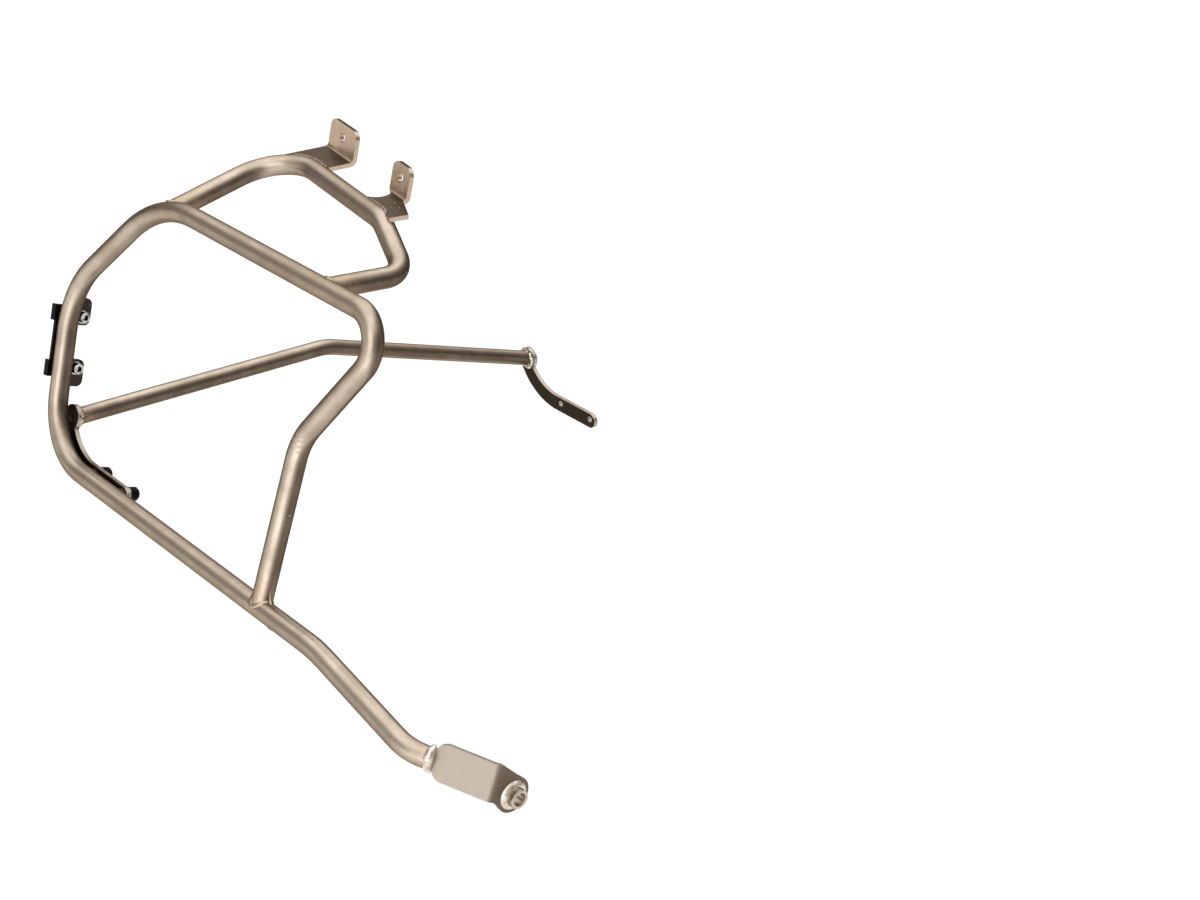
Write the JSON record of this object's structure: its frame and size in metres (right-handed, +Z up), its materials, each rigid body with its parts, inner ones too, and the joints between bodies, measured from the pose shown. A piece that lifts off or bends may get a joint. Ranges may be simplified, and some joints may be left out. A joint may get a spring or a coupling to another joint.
{
  "type": "pannier frame",
  "caption": "Tubular pannier frame for one side of a motorcycle: a bent ring with an arm to the seat rail, a lower mounting plate, a crossbar and a lock plate.",
  "frame": {"origin": "centre of the lower mounting bush's bore", "axes": "+X forwards along the vehicle and along the bush's bore, +Y towards the vehicle's middle, +Z up"},
  "size_m": [0.6711, 0.5969, 0.4045],
  "materials": {
    "frame_steel": "satin, warm grey",
    "ear_steel": "satin, darker",
    "plate_steel": "matt",
    "zinc_steel": "zinc plated, bright",
    "black_steel": "satin black",
    "black_screw": "satin black"
  },
  "bodies": {
    "root": {"main_tube": "frame_steel", "arm_tube": "frame_steel", "crossbar_tube": "frame_steel", "near_end_plate": "frame_steel", "far_end_plate": "frame_steel", "rear_boss": "frame_steel", "front_boss": "frame_steel", "upper_lock_lug": "frame_steel", "lower_lock_lug": "frame_steel", "rear_mount_ear": "ear_steel", "front_mount_ear": "ear_steel", "lower_mount_plate": "plate_steel", "lower_bush": "plate_steel", "rear_plate_washer": "zinc_steel", "front_plate_washer": "zinc_steel", "upper_lock_washer": "zinc_steel", "lower_lock_washer": "zinc_steel", "upper_lock_screw": "zinc_steel", "lower_lock_screw": "zinc_steel", "upper_lock_nut": "zinc_steel", "lower_lock_nut": "zinc_steel", "lock_plate": "black_steel", "rear_plate_screw": "black_screw", "front_plate_screw": "black_screw"}
  },
  "joints": []
}
